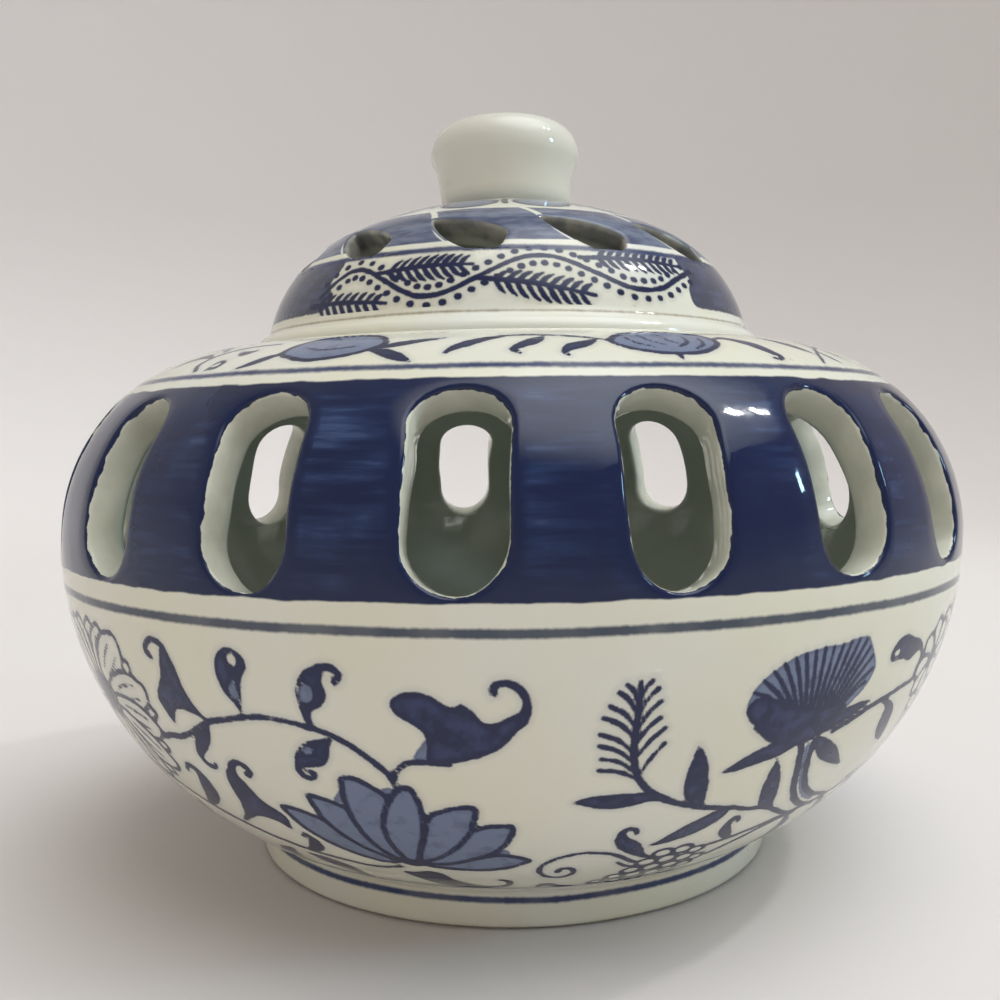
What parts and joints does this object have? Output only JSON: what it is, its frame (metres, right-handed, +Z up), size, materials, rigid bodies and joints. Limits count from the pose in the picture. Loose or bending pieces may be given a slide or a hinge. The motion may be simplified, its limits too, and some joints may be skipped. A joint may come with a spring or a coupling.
{
  "type": "potpourri vase",
  "caption": "Squat round blue-and-white porcelain potpourri vase with a slotted shoulder and a lift-off domed lid with swirled vents and a bun-shaped knob.",
  "frame": {"origin": "centre of the foot ring, on the surface that the vase stands on", "axes": "+Z up along the axis of the pot and the lid; -Y is the front, which the picture shows"},
  "size_m": [0.128, 0.128, 0.1073],
  "materials": {
    "pot_glaze": "glossy clear glaze over cobalt brushwork",
    "lid_glaze": "glossy clear glaze over cobalt brushwork",
    "knob_glaze": "glossy clear glaze over a blue dot"
  },
  "bodies": {
    "pot": {"pot": "pot_glaze"},
    "lid": {"lid": "lid_glaze", "lid_knob": "knob_glaze"}
  },
  "joints": [
    {"name": "lid_lift", "type": "slide", "parent": "pot", "child": "lid", "axis": [0, 0, 1], "range_m": [0, 0.06]}
  ]
}
